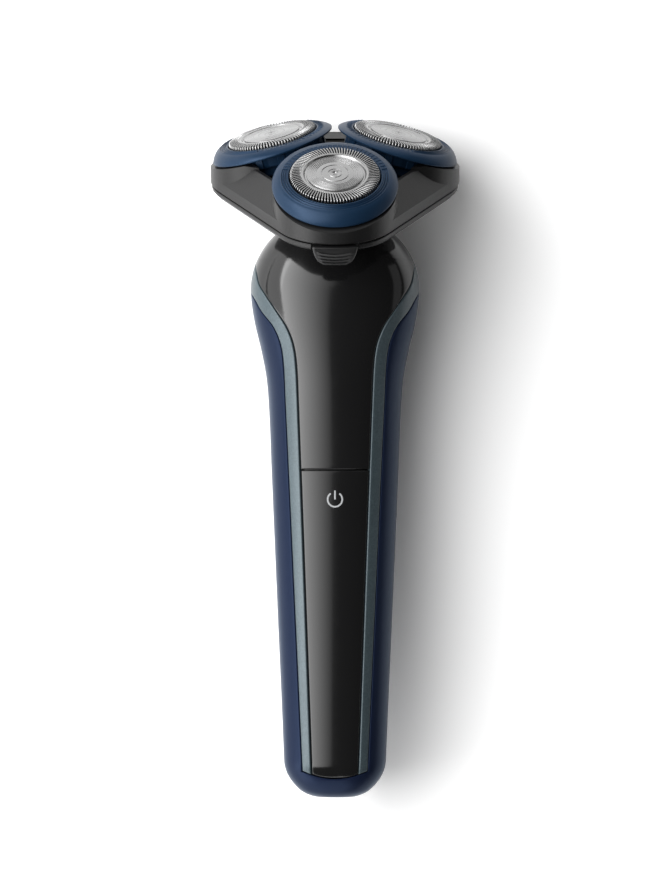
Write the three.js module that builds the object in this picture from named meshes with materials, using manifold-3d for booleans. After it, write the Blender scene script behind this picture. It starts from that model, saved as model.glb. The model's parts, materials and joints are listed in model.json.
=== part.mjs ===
// Rotary electric shaver: a hand-held handle with a detachable, hinged shaving unit that carries three
// floating and tilting rotary shaving heads, and a pop-up hair trimmer on its back.
// Millimetres. +Z runs up the handle, -Y is the front, and the origin is the middle of the foot.

import * as THREE from 'three';
import { mergeVertices } from 'three/addons/utils/BufferGeometryUtils.js';
import Module from 'manifold-3d';

const wasm = await Module();
wasm.setup();

const { PI, sin, cos, sqrt, abs, max, min, hypot, atan2, round, sign } = Math;
const degrees = PI / 180;

// ---------------------------------------------------------------- driving dimensions

const handle = {
  shoulder: 122.6, // height of the widest section
  top: 141.5, // top of the dome
  seam: 79, // joint between the front panel and the power panel
  collarLow: 122.5,
  collarHigh: 129.8,
  footRound: 9, // height of the rounding above the foot
  skin: 1.9, // housing wall
  panel: 1.2, // panel wall
};

const head = {
  tilt: 24.5 * degrees, // the shaving unit leans forward
  centre: new THREE.Vector3(0, -8.65, 156.7), // middle of the three guard faces
  spread: 17.75, // from the unit's axis to the middle of a guard
  lean: 15 * degrees, // each shaving head leans outward
  rim: -12.5, // underside of the frame
  seat: -20.9, // joint between the unit and the handle's neck
};

const guard = { radius: 10.75, wall: 0.35, depth: 3.2 };
const ring = { bore: 11.05, radius: 15, shift: 0.5, deep: 4.5, shallow: 1.9 };
const cup = { wide: 12.1, shoulder: -4.3, radius: 10.3, low: -8 }; // the ring's underside
const pivot = -7.3; // the heads tilt about this height on their own axis
const gears = { module: 1.057, sun: 12, planet: 18, low: -15, high: -13.7 };
const gearRadius = (gears.module * (gears.sun + gears.planet)) / 2;
const headAngles = { front: -90 * degrees, right: 30 * degrees, left: 150 * degrees };
const gap = 0.3; // clearance between pieces that are fixed to each other
const far = 60; // reach of a cutting solid

// ---------------------------------------------------------------- materials

const plastic = (color, roughness) =>
  new THREE.MeshStandardMaterial({ color, roughness, metalness: 0 });
const metal = (color, roughness) =>
  new THREE.MeshStandardMaterial({ color, roughness, metalness: 1 });
const paint = {
  navy: plastic(0x22355c, 0.35),
  steelBlue: new THREE.MeshStandardMaterial({ color: 0x7f97a6, roughness: 0.35, metalness: 0.5 }),
  glossBlack: plastic(0x1b1b1b, 0.08),
  satinBlack: plastic(0x2e2e2e, 0.4),
  ringBlue: plastic(0x24446b, 0.4),
  innerGrey: plastic(0x4a4c50, 0.6),
  gearWhite: plastic(0xd8d6cc, 0.5),
  boardGreen: plastic(0x1f5a3a, 0.5),
  cellWrap: plastic(0x3a7d56, 0.4),
  lightWhite: plastic(0xe8ecee, 0.3),
  rubber: plastic(0x151515, 0.8),
  steel: metal(0xc4c6c8, 0.25),
  darkSteel: metal(0x85888c, 0.4),
  nickel: metal(0xb9b39f, 0.3),
};

// ---------------------------------------------------------------- solids

// A closed geometry as a manifold solid whose faces point outwards.
function solidOf(geometry) {
  const bare = geometry.clone();
  bare.deleteAttribute('uv');
  bare.deleteAttribute('normal');
  const merged = mergeVertices(bare, 1e-4);
  const index = merged.index.array;
  const triangles = [];
  for (let i = 0; i < index.length; i += 3) {
    const [a, b, c] = [index[i], index[i + 1], index[i + 2]];
    if (a !== b && b !== c && c !== a) triangles.push([a, b, c]);
  }
  const build = (faces) =>
    new wasm.Manifold(
      new wasm.Mesh({
        numProp: 3,
        vertProperties: merged.attributes.position.array,
        triVerts: new Uint32Array(faces.flat()),
      }),
    );
  const made = build(triangles);
  return made.volume() > 0 ? made : build(triangles.map(([a, b, c]) => [a, c, b]));
}

const box = (x, y, z, at = [0, 0, 0]) => solidOf(new THREE.BoxGeometry(x, y, z).translate(...at));

// A box given by its lowest and highest corners.
function span(low, high) {
  const size = high.map((v, i) => v - low[i]);
  return box(...size, high.map((v, i) => (v + low[i]) / 2));
}

// A disc or tube about +Z from a closed or axis-to-axis list of [radius, height].
function turned(profile, sides = 24) {
  const points = profile.map(([r, z]) => new THREE.Vector2(r, z));
  return solidOf(new THREE.LatheGeometry(points, sides).rotateX(PI / 2));
}

const disc = (radius, low, high, sides = 24) =>
  turned([[0, low], [radius, low], [radius, high], [0, high]], sides);

const tube = (inner, outer, low, high, sides = 24) =>
  turned([[inner, low], [outer, low], [outer, high], [inner, high], [inner, low]], sides);

// An outline in X and Z, pushed through from y = back to y = front.
function through(points, front, back) {
  const shape = new THREE.Shape(points.map(([x, z]) => new THREE.Vector2(x, z)));
  const geometry = new THREE.ExtrudeGeometry(shape, { depth: back - front, bevelEnabled: false });
  return solidOf(geometry.rotateX(PI / 2).translate(0, back, 0));
}

// An outline in X and Y, from z = low to z = high.
function plate(points, low, high) {
  const shape = new THREE.Shape(points.map(([x, y]) => new THREE.Vector2(x, y)));
  const geometry = new THREE.ExtrudeGeometry(shape, { depth: high - low, bevelEnabled: false });
  return solidOf(geometry.translate(0, 0, low));
}

// A skin through stacked sections: pointAt(level, side) gives each corner, and the two ends are closed.
function loft(levels, sides, pointAt) {
  const geometry = new THREE.CylinderGeometry(1, 1, levels - 1, sides, levels - 1).rotateX(PI / 2);
  const position = geometry.attributes.position;
  for (let i = 0; i < position.count; i++) {
    const level = round(position.getZ(i) + (levels - 1) / 2);
    const onRim = hypot(position.getX(i), position.getY(i)) > 0.5;
    const turn = round((atan2(position.getY(i), position.getX(i)) / (2 * PI)) * sides);
    const point = new THREE.Vector3();
    if (onRim) point.copy(pointAt(level, (turn + sides) % sides));
    else for (let k = 0; k < sides; k++) point.addScaledVector(pointAt(level, k), 1 / sides);
    position.setXYZ(i, point.x, point.y, point.z);
  }
  return solidOf(geometry);
}

const union = (...solids) => solids.reduce((a, b) => a.add(b));
const moved = (solid, matrix) => solid.transform([...matrix.elements]);
const shifted = (solid, x, y, z) => moved(solid, new THREE.Matrix4().makeTranslation(x, y, z));
const alongX = (solid) => moved(solid, new THREE.Matrix4().makeRotationY(PI / 2));
const alongY = (solid) => moved(solid, new THREE.Matrix4().makeRotationX(PI / 2));

// A smooth curve through [position, value] knots, as a function of position.
function curve(knots) {
  const slope = (i) => {
    const [a, b] = [knots[max(i - 1, 0)], knots[min(i + 1, knots.length - 1)]];
    return (b[1] - a[1]) / (b[0] - a[0]);
  };
  return (z) => {
    let i = 0;
    while (i < knots.length - 2 && z > knots[i + 1][0]) i++;
    const [[z0, v0], [z1, v1]] = [knots[i], knots[i + 1]];
    const t = min(max((z - z0) / (z1 - z0), 0), 1);
    const ease = t * t * (3 - 2 * t);
    const bend = (z1 - z0) * (t * (1 - t) * (1 - t) * slope(i) - t * t * (1 - t) * slope(i + 1));
    return v0 + (v1 - v0) * ease + bend;
  };
}

// ---------------------------------------------------------------- frames

const shaver = new THREE.Group();
const unit = new THREE.Group(); // the shaving unit's own frame: +Z out of its face, -Y to its front
unit.position.copy(head.centre);
unit.rotation.x = head.tilt;
shaver.add(unit);
unit.updateMatrix();

// One frame per shaving head: +X outward, +Z out of its guard, the origin in the middle of its face.
const headFrames = {};
for (const [name, angle] of Object.entries(headAngles)) {
  const frame = new THREE.Group();
  frame.position.set(head.spread * cos(angle), head.spread * sin(angle), 0);
  frame.rotation.set(0, head.lean, angle, 'ZYX');
  unit.add(frame);
  frame.updateMatrix();
  headFrames[name] = frame;
}

function add(name, solid, material, frame = shaver) {
  const made = biggest(solid.simplify(0.02)).getMesh();
  const geometry = new THREE.BufferGeometry();
  geometry.setAttribute('position', new THREE.BufferAttribute(new Float32Array(made.vertProperties), 3));
  geometry.setIndex(new THREE.BufferAttribute(new Uint32Array(made.triVerts), 1));
  const mesh = new THREE.Mesh(geometry.toNonIndexed(), material);
  mesh.geometry.computeVertexNormals();
  mesh.name = name;
  frame.add(mesh);
}

// ---------------------------------------------------------------- handle form

const halfWidth = curve([
  [0, 12], [21, 12.85], [50, 14.15], [79, 15.4], [93.5, 16], [101, 16.6],
  [108, 17.9], [115.3, 19.6], [122.6, 20.4], [129, 19.6],
]);
const frontDepth = curve([[0, 10.2], [40, 11.6], [80, 13], [110, 15.2], [122.6, 16.2], [130, 16.4]]);
const backDepth = curve([[0, 10.2], [40, 12.4], [80, 13.6], [110, 15.8], [122.6, 16.5], [130, 16.6]]);
const centreLine = curve([[0, 0], [30, 0.8], [70, 2.6], [100, 3.2], [122.6, 1.8], [141.5, 2.8]]);
const squareness = 2.4; // 2 is an ellipse, more is squarer

// How much of the shoulder section is left on the way up the dome.
const domeShare = (z, power, inset) => {
  const t = (z - handle.shoulder) / (handle.top - inset - handle.shoulder);
  return t <= 0 ? 1 : (1 - min(t, 1) ** power) ** (1 / power);
};
const footInset = (z, depth) => (z < handle.footRound ? depth * (1 - z / handle.footRound) ** 2.2 : 0);

// The handle's section at a height, moved inwards by inset.
function handlePoint(z, angle, inset = 0) {
  const lift = z - inset;
  const height = min(z, handle.shoulder);
  const width = (halfWidth(height) - footInset(lift, 5.6) - inset) * domeShare(z, 2, inset);
  const front = (frontDepth(height) - footInset(lift, 4.2) - inset) * domeShare(z, 2, inset);
  const back = (backDepth(height) - footInset(lift, 4.2) - inset) * domeShare(z, 3.2, inset);
  const [c, s] = [cos(angle), sin(angle)];
  const x = width * sign(c) * abs(c) ** (2 / squareness);
  const y = (s < 0 ? front : back) * sign(s) * abs(s) ** (2 / squareness);
  return new THREE.Vector3(x, centreLine(z) + y, z);
}

function handleForm(inset, sides, heights) {
  const top = handle.top - inset;
  const levels = [...heights.filter((z) => z > inset && z < top - 1), top - 0.25];
  levels.unshift(inset);
  return loft(levels.length, sides, (level, side) =>
    handlePoint(levels[level], (side / sides) * 2 * PI, inset),
  );
}

const fineHeights = [
  0.8, 2.2, 4.5, 9, 22, 50, 79, 93, 101, 106, 110, 114, 118, 122.6, 126, 129, 132, 135, 137.5, 139.6,
];
const coarseHeights = [4.5, 9, 22, 50, 79, 93, 105, 114, 122.6, 129, 134, 137];

// The two edges of the trim strip, seen from the front, as half-widths over height.
const trimEdge = curve([
  [5, 7.8], [96, 12], [105, 12.45], [109.5, 13.2], [113.4, 14.9],
  [117.2, 17.8], [121.1, 19.8], [124, 21.2],
]);
const panelEdge = curve([
  [5, 5.65], [96, 9], [105, 9.45], [109.5, 10.2], [113.4, 11.8], [117.2, 14.3],
  [121.1, 16.9], [123.5, 18.3], [126, 18.8], [131, 18.8],
]);
const lowerArc = { height: 4.9, radius: 19.7 }; // the round lower end of the panels

// Everything in front of the handle's middle and inside an edge, from the lower arc to a top height.
function frontRegion(edge, topHeight, grow) {
  const arcAt = (x) => lowerArc.height + lowerArc.radius - sqrt(lowerArc.radius ** 2 - x * x) - grow;
  const steps = 6;
  const corner = edge(lowerArc.height + 1.5) + grow;
  const bottom = [];
  for (let i = -steps; i <= steps; i++) {
    const x = (corner * i) / steps;
    bottom.push([x, arcAt(x)]);
  }
  const heights = [22, 47, 76, 97, 105.4, 109.7, 113.2, 117.3, 121.3, 123.6, 126.3, topHeight];
  const used = heights.filter((z) => z <= topHeight);
  const right = used.map((z) => [edge(z) + grow, z]);
  const left = used.map((z) => [-edge(z) - grow, z]).reverse();
  return through([...bottom, ...right, ...left], -far, 1.5);
}

const above = (z) => span([-far, -far, z], [far, far, z + 100]);
const below = (z) => span([-far, -far, z - 200], [far, far, z]);

// ---------------------------------------------------------------- neck

const neck = { spigot: 11.4, flare: 13.6, low: -27.5 };
const neckHole = moved(disc(neck.flare + gap, -34, 0, 32), unit.matrix);

// ---------------------------------------------------------------- trimmer layout on the back

const trimmer = {
  low: 77.2,
  high: 101,
  halfWidth: 8.2,
  depth: 5.4,
  hinge: [0, 13.3, 79.6],
  barrel: 1.9,
};
const trimmerWell = span(
  [-trimmer.halfWidth - gap, 9, trimmer.low - gap],
  [trimmer.halfWidth + gap, far, trimmer.high + gap],
);
const trimmerSlide = { low: 67.5, high: 75, halfWidth: 2.2 };

// ---------------------------------------------------------------- handle shells

function addHandleShells() {
  const outer = handleForm(0, 28, fineHeights);
  const inner = handleForm(handle.skin, 20, coarseHeights);
  const deepForm = (inset) => handleForm(inset, 20, coarseHeights);
  const trimRegion = (grow) =>
    union(frontRegion(trimEdge, 124, grow), above(handle.collarLow - grow));
  const panelRegion = (grow) =>
    union(frontRegion(panelEdge, 131, grow), above(handle.collarHigh - grow));

  const wellDeep = deepForm(trimmer.depth + 1.5);
  const wellBlock = span(
    [-trimmer.halfWidth - 1.5, 7, trimmer.low - 1.5],
    [trimmer.halfWidth + 1.5, far, trimmer.high + 1.5],
  );
  const well = trimmerWell.subtract(deepForm(trimmer.depth));
  const pinHole = shifted(alongX(disc(0.75, -9.9, 9.9, 12)), ...trimmer.hinge);
  const slideSlot = span(
    [-trimmerSlide.halfWidth - 0.2, 9, trimmerSlide.low - 2.2],
    [trimmerSlide.halfWidth + 0.2, far, trimmerSlide.high],
  ).subtract(deepForm(1));
  const stemSlot = span([-1.2, 9, trimmerSlide.low - 0.2], [1.2, far, trimmerSlide.high - 1.3]);
  const socketHole = span([-3.1, 1, -5], [3.1, 5.2, 8]);
  const housing = outer
    .subtract(inner)
    .add(wellBlock.intersect(outer).subtract(wellDeep))
    .subtract(well)
    .subtract(pinHole)
    .subtract(slideSlot)
    .subtract(stemSlot)
    .subtract(socketHole)
    .subtract(trimRegion(0.15));
  add('rear_housing', housing, paint.navy);

  const upper = above(handle.seam - 0.1);
  const shallow = outer.subtract(deepForm(handle.panel + gap));
  const deep = outer.subtract(deepForm(2.2));
  const buttonHole = shifted(alongY(disc(2.8, -1, 40, 16)), 0, 0, 71.9);
  const frame = outer
    .subtract(deepForm(3.1))
    .intersect(trimRegion(0))
    .subtract(neckHole)
    .subtract(panelRegion(0.15).intersect(upper).intersect(shallow))
    .subtract(panelRegion(0.15).subtract(upper).intersect(deep))
    .subtract(buttonHole);
  add('trim_frame', frame, paint.steelBlue);

  const panelSkin = outer.subtract(deepForm(handle.panel)).intersect(panelRegion(-0.12));
  const upperPanel = panelSkin.intersect(above(handle.seam + 0.12)).subtract(neckHole);
  add('front_panel', upperPanel, paint.glossBlack);
  const lowerPanel = panelSkin.intersect(below(handle.seam - 0.18)).subtract(powerIcon(0.08));
  add('power_panel', lowerPanel, paint.glossBlack);
  const lensBack = shifted(alongY(disc(2.5, 7.9, 8.4, 16)), 0, 0, 71.9);
  const lens = powerIcon(0).intersect(handleForm(0.05, 28, fineHeights)).add(lensBack);
  add('power_light_guide', lens, paint.lightWhite);
}

// The largest of a boolean's separate bodies.
function biggest(solid) {
  return solid.decompose().reduce((a, b) => (b.volume() > a.volume() ? b : a));
}

// The standby mark: a broken ring with a bar in its gap, as a solid that reaches in from the front.
function powerIcon(grow) {
  const [radius, half, opening] = [2, 0.24 + grow, 38 * degrees];
  const steps = 12;
  const count = [...Array(steps + 1).keys()];
  const arc = (r) => (i) => {
    const angle = PI / 2 + opening + ((2 * PI - 2 * opening) * i) / steps;
    return [r * cos(angle), r * sin(angle)];
  };
  const outline = [...count.map(arc(radius + half)), ...count.map(arc(radius - half)).reverse()];
  const ringPart = through(outline, -far, -8.1);
  const bar = span([-half, -far, -0.2 - grow], [half, -8.1, 2.5 + grow]);
  return shifted(union(ringPart, bar), 0, 0, 71.9);
}

// ---------------------------------------------------------------- inside the handle

const cell = { radius: 7, low: 16, high: 62, y: 2.3 };
const board = { front: -6.3, back: -5.3, halfWidth: 4.4 };
const motor = { radius: 9.3, low: 104.2, high: 119.6, y: 6.25 };

function addHandleInside() {
  const cradle = tube(motor.radius + 0.15, motor.radius + 1.2, motor.low - 1.1, motor.low + 2.3, 20);
  const rails = union(
    span([-9, 0.5, 14.2], [-8, 4.5, motor.low - 0.2]),
    span([8, 0.5, 14.2], [9, 4.5, motor.low - 0.2]),
    span([-8.2, -1.6, 13.6], [8.2, 5.5, 15]),
    span([-8.2, -4.4, 63], [8.2, 8.4, 64.4]),
    span([-8.2, -0.6, 84], [8.2, 5.2, 85.4]),
    span([-9, -0.4, motor.low - 1.1], [9, 11, motor.low - 0.2]),
    shifted(cradle, 0, motor.y, 0).intersect(span([-far, -far, 0], [far, 11.5, 200])),
  );
  const lowBoss = span([-2.4, -5.1, 11.4], [2.4, 1, 15.2]);
  const highBoss = span([-2.4, -5.1, 63], [2.4, -3, 68]);
  const screwHole = (z) => shifted(alongY(disc(0.8, 1.2, 5.2, 12)), 0, 0, z);
  const chassis = union(rails, lowBoss, highBoss)
    .subtract(screwHole(13.7))
    .subtract(screwHole(66.2))
    .subtract(shifted(disc(2.4, 90, 110, 16), 0, motor.y, 0));
  add('chassis', chassis, paint.innerGrey);

  const cellBody = union(disc(cell.radius, cell.low, cell.high), disc(2.6, 61, cell.high + 0.5, 16));
  add('battery_cell', shifted(cellBody, 0, cell.y, 0), paint.cellWrap);
  add('battery_tab_plus', span([-2, cell.y - 5.6, 62.62], [2, cell.y + 2.5, 62.85]), paint.nickel);
  add('battery_tab_minus', span([-2, cell.y - 5.6, 15.3], [2, cell.y + 2.5, 15.7]), paint.nickel);

  const boardBlank = span([-board.halfWidth, board.front, 12.1], [board.halfWidth, board.back, 77]);
  const boardHoles = union(...[13.7, 66.2].map((z) => shifted(alongY(disc(1.1, 4, 8, 12)), 0, 0, z)));
  add('circuit_board', boardBlank.subtract(boardHoles), paint.boardGreen);
  for (const [name, z] of [['board_screw_lower', 13.7], ['board_screw_upper', 66.2]]) {
    const slot = span([-0.9, -0.15, 6.6], [0.9, 0.15, 7]);
    const screw = union(disc(0.7, 1.6, 6.4, 12), disc(1.5, 6.35, 6.85, 16)).subtract(slot);
    add(name, shifted(alongY(screw), 0, 0, z), paint.darkSteel);
  }
  const socket = shifted(alongY(tube(0.95, 1.9, 6.35, 7.2, 16)), 0, 0, 71.9);
  add('switch_body', socket, paint.innerGrey);
  add('switch_plunger', shifted(alongY(disc(0.85, 6.65, 7.3, 16)), 0, 0, 71.9), paint.rubber);
  add('status_led', span([-0.5, -6.85, 75.1], [0.5, -6.35, 76.1]), paint.lightWhite);

  const socketY = 3.1;
  const pinAt = (radius, low, high, x) => shifted(disc(radius, low, high, 12), x, socketY, 0);
  const flange = span([-4.2, 0.5, 4.4], [4.2, 5.7, 5.6]);
  const chargeBody = union(span([-2.8, 1.3, 0.5], [2.8, 4.9, 8]), flange)
    .subtract(span([-2.1, 1.9, -1], [2.1, 4.3, 6]))
    .subtract(union(pinAt(0.55, 0, 20, -1.1), pinAt(0.55, 0, 20, 1.1)));
  add('charge_socket', chargeBody, paint.satinBlack);
  add('charge_pin_left', pinAt(0.45, 2.5, 9, -1.1), paint.nickel);
  add('charge_pin_right', pinAt(0.45, 2.5, 9, 1.1), paint.nickel);

  const can = turned([
    [1.6, motor.low], [motor.radius, motor.low], [motor.radius, motor.high], [1.6, motor.high],
    [1.6, motor.high - 1], [motor.radius - 1, motor.high - 1], [motor.radius - 1, motor.low + 1],
    [1.6, motor.low + 1], [1.6, motor.low],
  ]);
  add('motor_can', shifted(can, 0, motor.y, 0), paint.darkSteel);
  const rotor = union(disc(1, 103, 121.6, 12), disc(7.6, 106.2, 117.4), disc(1.7, 120.2, 121.6, 6));
  add('motor_rotor', shifted(rotor, 0, motor.y, 0), paint.steel);

  const spigot = tube(4, neck.spigot, head.seat - 0.6, -17.7, 32);
  const collar = tube(4, neck.flare, neck.low, head.seat, 32);
  const sleeve = tube(2.4, 4.4, -29.9, -24.5, 24);
  add('neck_collar', union(spigot, collar, sleeve), paint.satinBlack, unit);
  add('neck_seal', tube(2.55, 3.85, -24.3, -22.6, 20), paint.rubber, unit);
  const spindle = union(
    disc(2.1, -33.2, -24.6, 16),
    disc(1.5, -33.2, -18.4, 16),
    disc(2, -20.4, -16.9, 6),
  )
    .subtract(disc(2, -33.9, -33.2, 6));
  add('drive_spindle', spindle, paint.steel, unit);
}

// ---------------------------------------------------------------- shaving unit

// A rounded triangle about the unit's axis: circles of one radius around three centres, hulled.
const corners = Object.values(headAngles);
function triangle(reach, radius, sides, side, height) {
  const angle = ((side + 0.5) / sides) * 2 * PI;
  const nearest = corners.reduce((a, b) => (cos(angle - b) > cos(angle - a) ? b : a));
  return new THREE.Vector3(
    reach * cos(nearest) + radius * cos(angle),
    reach * sin(nearest) + radius * sin(angle),
    height,
  );
}

// A body through rounded triangles: rows of [height, reach, radius].
function triangular(rows, sides = 24) {
  const pointAt = (level, side) => {
    const [height, reach, radius] = rows[level];
    return triangle(reach, radius, sides, side, height);
  };
  return loft(rows.length, sides, pointAt);
}

// A solid turned about a shaving head's own axis, placed in the unit's frame.
const inHead = (solid, name) => moved(solid, headFrames[name].matrix);
const headNames = Object.keys(headAngles);
const inEachHead = (solid) => union(...headNames.map((name) => inHead(solid, name)));

function tilted(solid, angle) {
  const turn = new THREE.Matrix4()
    .makeTranslation(0, 0, pivot)
    .multiply(new THREE.Matrix4().makeRotationY(angle))
    .multiply(new THREE.Matrix4().makeTranslation(0, 0, -pivot));
  return moved(solid, turn);
}

// Everything above the slanted lower face of a ring.
function aboveRingFace(drop) {
  const slant = atan2(ring.deep - ring.shallow, 2 * ring.radius);
  const block = shifted(box(80, 80, 40), 0, 0, 20);
  const turn = new THREE.Matrix4()
    .makeTranslation(0, 0, -(ring.deep + ring.shallow) / 2 - drop)
    .multiply(new THREE.Matrix4().makeRotationY(slant));
  return moved(block, turn);
}

const outwardTilt = 1 * degrees;
const inwardTilt = 6 * degrees;

// The room a shaving head needs in the frame at every tilt.
function headRoom() {
  const wide = shifted(disc(ring.radius + gap, -8, 8, 24), ring.shift, 0, 0);
  const disk = wide.intersect(aboveRingFace(gap));
  const cups = union(
    disc(cup.wide + gap, cup.shoulder - gap, 2, 24),
    disc(cup.radius + 0.5, -13, 2, 24),
  );
  const head = union(disk, cups);
  return union(...[-inwardTilt, 0, outwardTilt].map((angle) => tilted(head, angle)));
}

// The hinge at the back, between the frame and the base.
const hinge = { y: 22.3, h: -12.6, barrel: 1.45 };
const onHinge = (radius, low, high, sides = 16) =>
  shifted(alongX(disc(radius, low, high, sides)), 0, hinge.y, hinge.h);
const hingeBore = onHinge(0.75, -9, 9, 12);

function addFrame() {
  const ridge = -3.9; // top of the walls between the heads
  const lobe = (name) => {
    const at = headFrames[name].position;
    return shifted(disc(14.8, head.rim + 0.4, ridge, 30), at.x, at.y, 0);
  };
  const shell = union(
    triangular([
      [head.rim, head.spread, 14.4],
      [head.rim + 0.4, head.spread, 14.8],
      [-9.7, head.spread, 14.7],
      [ridge - 0.3, head.spread, 11],
      [ridge, head.spread, 10.6],
    ]),
    ...headNames.map(lobe),
    span([-7, 16.6, -11.4], [7, 23.4, -5.2]),
  ).subtract(span([-7.6, 15, -5.2], [7.6, 26, 0]));
  const hollow = triangular([
    [head.rim - 1, head.spread, 13.2],
    [-10.2, head.spread, 13.2],
    [ridge - 1, head.spread, 9.6],
    [1, head.spread, 9.6],
  ]);
  const { y, barrel } = hinge;
  const knuckles = union(
    onHinge(barrel, -2.3, 2.3),
    onHinge(barrel, 5.7, 8.4),
    onHinge(barrel, -8.4, -5.7),
  );
  const lugSlots = union(
    onHinge(1.9, 2.6, 5.4),
    onHinge(1.9, -5.4, -2.6),
    span([2.6, 19, -16], [5.4, y, -10.7]),
    span([-5.4, 19, -16], [-2.6, y, -10.7]),
  );
  const frame = shell
    .subtract(hollow)
    .add(knuckles)
    .subtract(inEachHead(headRoom()))
    .subtract(lugSlots)
    .subtract(hingeBore);
  add('head_frame', frame, paint.satinBlack, unit);
  add('hinge_pin', onHinge(0.65, -8.3, 8.3), paint.steel, unit);
}

// The carrier holds the three heads by their trunnions, inside the frame.
function addCarrier() {
  const blank = triangular([[-11.1, head.spread - 1.2, 12.2], [-9.9, head.spread - 1.2, 12.2]]);
  const cupRoom = union(disc(10.9, -14, 3, 24), disc(12.7, -6, 3, 24));
  const lugPair = union(
    span([-1.4, 10.75, -9.6], [1.4, 11.8, -6.3]),
    span([-1.4, -11.8, -9.6], [1.4, -10.75, -6.3]),
  );
  const trunnionBore = shifted(alongY(disc(0.7, -20, 20, 12)), 0, 0, pivot);
  const carrier = blank
    .subtract(inEachHead(cupRoom))
    .add(inEachHead(lugPair))
    .subtract(inEachHead(trunnionBore))
    .subtract(disc(3.2, -20, 0, 20));
  add('head_carrier', carrier, paint.innerGrey, unit);
}

function addBase() {
  const form = triangular([
    [head.seat, 0.01, 13.6],
    [-19.4, 2.6, 14],
    [-17, 9.6, 14.4],
    [-15.2, 15, 14.4],
    [-14.2, 17.4, 14.3],
    [-13.6, head.spread, 14.6],
    [-12.8, head.spread, 14.6],
  ]);
  const lip = triangular([[-13.4, head.spread, 12.1], [-11.4, head.spread, 12.1]]);
  const chamber = triangular([[-15.4, 16.1, 11.1], [-10, 16.1, 11.1]]);
  const { y, barrel } = hinge;
  const swingRoom = span([-20, 22.1, -14.1], [20, far, -10]);
  const lugs = union(
    onHinge(barrel, 2.9, 5.1),
    onHinge(barrel, -5.1, -2.9),
    span([2.9, 18.5, -14], [5.1, y, -12.8]),
    span([-5.1, 18.5, -14], [-2.9, y, -12.8]),
  );
  const frameKnuckleRoom = union(
    onHinge(1.8, -2.6, 2.6),
    onHinge(1.8, 5.4, 8.8),
    onHinge(1.8, -8.8, -5.4),
  );
  const base = union(form, lip)
    .subtract(chamber)
    .subtract(disc(neck.spigot + gap, -30, -17.4, 32))
    .subtract(disc(4.8, -30, -10, 24))
    .subtract(swingRoom)
    .add(lugs)
    .subtract(frameKnuckleRoom)
    .subtract(hingeBore)
    .subtract(span([-5.7, -40, -19], [5.7, -29.7, -12]))
    .subtract(span([-2.3, -40, -15.1], [2.3, -25.9, -13.1]));
  add('unit_base', base, paint.satinBlack, unit);
}

function addReleaseTab() {
  const side = [[5.3, -12.8], [5.1, -14.6], [3.6, -17.2], [2.2, -18.2]];
  const outline = [...side.map(([x, h]) => [-x, h]), ...side.reverse()];
  const groove = (h) => span([-2.9, -35, h - 0.2], [2.9, -32.75, h + 0.2]);
  const grooves = union(...[-14.4, -15.6, -16.8].map(groove));
  const stem = span([-2, -31.4, -14.9], [2, -27.4, -13.3]);
  const tab = through(outline, -33, -31.2).subtract(grooves).add(stem);
  add('release_tab', tab, paint.satinBlack, unit);
}

// A gear on each head's side of the unit's axis, driven by the sun gear in the middle.
function addGears() {
  const gearAt = (name) => {
    const at = headFrames[name].position.clone().setLength(gearRadius);
    return new THREE.Matrix4().makeTranslation(at.x, at.y, 0);
  };
  const spindleHoles = union(...headNames.map((name) => moved(disc(2.1, -20, 0, 16), gearAt(name))));
  const cover = triangular([[-12.6, 16.1, 10.8], [-11.6, 16.1, 10.8]]).subtract(spindleHoles);
  add('gear_cover', cover, paint.innerGrey, unit);

  const sunHub = disc(4.4, -16.4, gears.high, 20);
  const socket = disc(2.5, -18, -13.9, 6);
  const sun = union(gear(gears.sun, 0, gears.low, gears.high), sunHub).subtract(socket);
  add('sun_gear', sun, paint.gearWhite, unit);
  const planet = union(
    gear(gears.planet, PI / gears.planet, gears.low, gears.high),
    disc(1.25, gears.low, -7.6, 12),
    disc(1.7, -8.2, -6.9, 6),
    disc(3, gears.high - 0.1, -12.9, 16),
  );
  for (const name of headNames) {
    const place = gearAt(name).multiply(new THREE.Matrix4().makeRotationZ(headAngles[name]));
    add(`drive_gear_${name}`, moved(planet, place), paint.gearWhite, unit);
  }
}

// A spur gear with one tooth pointing along +X, turned by phase.
function gear(teeth, phase, low, high) {
  const pitchRadius = (gears.module * teeth) / 2;
  const [tip, root] = [pitchRadius + 0.6, pitchRadius - 0.85];
  const step = (2 * PI) / teeth;
  const points = [];
  for (let i = 0; i < teeth; i++) {
    const angle = i * step + phase;
    for (const [r, share] of [[root, -0.3], [tip, -0.12], [tip, 0.12], [root, 0.3]]) {
      points.push([r * cos(angle + share * step), r * sin(angle + share * step)]);
    }
  }
  return plate(points, low, high);
}

// ---------------------------------------------------------------- shaving heads

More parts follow.
